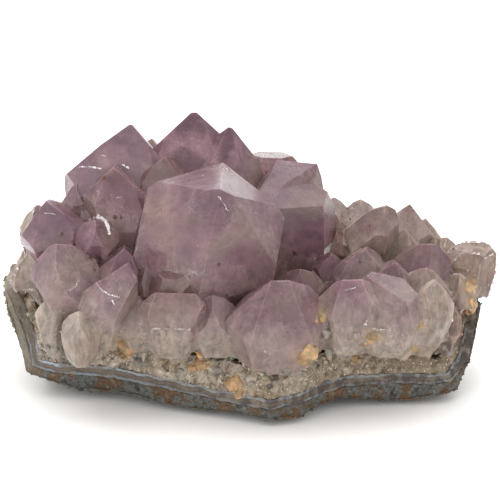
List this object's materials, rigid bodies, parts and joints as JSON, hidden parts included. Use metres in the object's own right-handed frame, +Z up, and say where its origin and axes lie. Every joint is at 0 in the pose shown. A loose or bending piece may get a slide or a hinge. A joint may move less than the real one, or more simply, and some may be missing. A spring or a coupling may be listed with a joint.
{
  "type": "amethyst cluster",
  "caption": "Natural amethyst crystal cluster on a broken piece of geode wall, with granular quartz, an agate band and a rough rock crust. It rests on its underside for display.",
  "frame": {"origin": "centre of the bounding box's footprint, at the level of the underside", "axes": "+Z up, +X to the right along the long front edge with the widest crystal toward the viewer, +Y away from the front edge"},
  "size_m": [0.1304, 0.0786, 0.0704],
  "materials": {
    "amethyst": "glassy natural crystal faces, mauve tips over milky white bodies",
    "granular_quartz": "sparkling granular quartz, grey to cream, with orange iron stains",
    "agate": "waxy, finely banded blue-grey chalcedony",
    "basalt": "rough, weathered, rusty grey-brown"
  },
  "bodies": {
    "root": {"amethyst_crystals": "amethyst", "granular_quartz": "granular_quartz", "agate_band": "agate", "basalt_crust": "basalt"}
  },
  "joints": []
}
